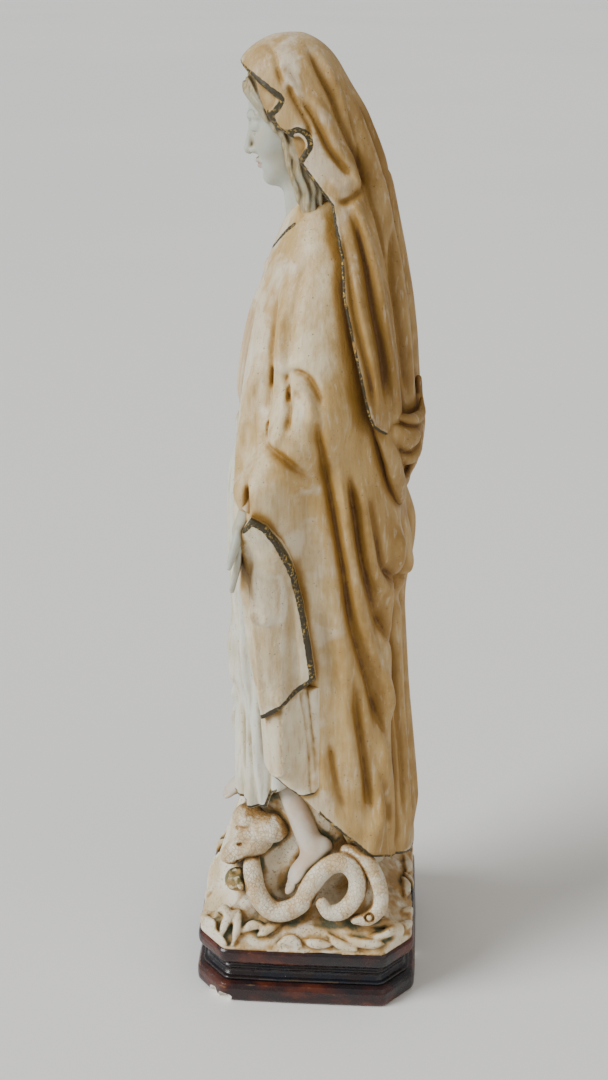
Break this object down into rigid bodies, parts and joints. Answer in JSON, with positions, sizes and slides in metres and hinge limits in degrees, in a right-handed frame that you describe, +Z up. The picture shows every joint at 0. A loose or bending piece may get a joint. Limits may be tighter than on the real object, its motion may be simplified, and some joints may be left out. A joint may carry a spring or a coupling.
{
  "type": "madonna statue",
  "caption": "Standing veiled woman in cast painted plaster, arms lowered, on a serpent and a moulded eight-sided plinth; a devotional figure for a shelf or altar.",
  "frame": {"origin": "centre of the plinth's underside, which is the bottom centre of the whole statue", "axes": "+Z up; the figure faces -Y; +X is to the figure's left"},
  "size_m": [0.1158, 0.097, 0.4],
  "materials": {
    "plinth_brown": "glossy varnished paint, worn at the edges",
    "plinth_black": "glossy blue-black paint",
    "ground_cream": "matt paint over plaster, aged in the hollows",
    "serpent_cream": "matt paint over plaster",
    "apple_olive": "matt olive-brown paint",
    "skin_grey": "smooth satin, pale grey-white",
    "robe_cream": "satin, off-white",
    "mantle_ivory": "satin, ivory with ochre ageing, thin olive-gold borders",
    "veil_ivory": "satin, ivory with ochre ageing, thin olive-gold border",
    "hair_ochre": "matt greenish ochre",
    "iron": "plain drawn iron, not seen"
  },
  "bodies": {
    "root": {"plinth_foot": "plinth_brown", "plinth_rim": "plinth_brown", "plinth_cove": "plinth_black", "ground": "ground_cream", "serpent_body": "serpent_cream", "serpent_tail": "serpent_cream", "serpent_head": "serpent_cream", "apple": "apple_olive", "head": "skin_grey", "left_foot": "skin_grey", "right_foot": "skin_grey", "left_hand": "skin_grey", "right_hand": "skin_grey", "robe_skirt": "robe_cream", "robe_bodice": "robe_cream", "sash": "robe_cream", "left_sleeve": "robe_cream", "right_sleeve": "robe_cream", "mantle": "mantle_ivory", "left_lapel": "mantle_ivory", "right_lapel": "mantle_ivory", "left_hem_fold": "mantle_ivory", "right_hem_fold": "mantle_ivory", "veil": "veil_ivory", "veil_gather": "veil_ivory", "hair": "hair_ochre", "armature_rod": "iron", "left_wrist_wire": "iron", "right_wrist_wire": "iron"}
  },
  "joints": []
}
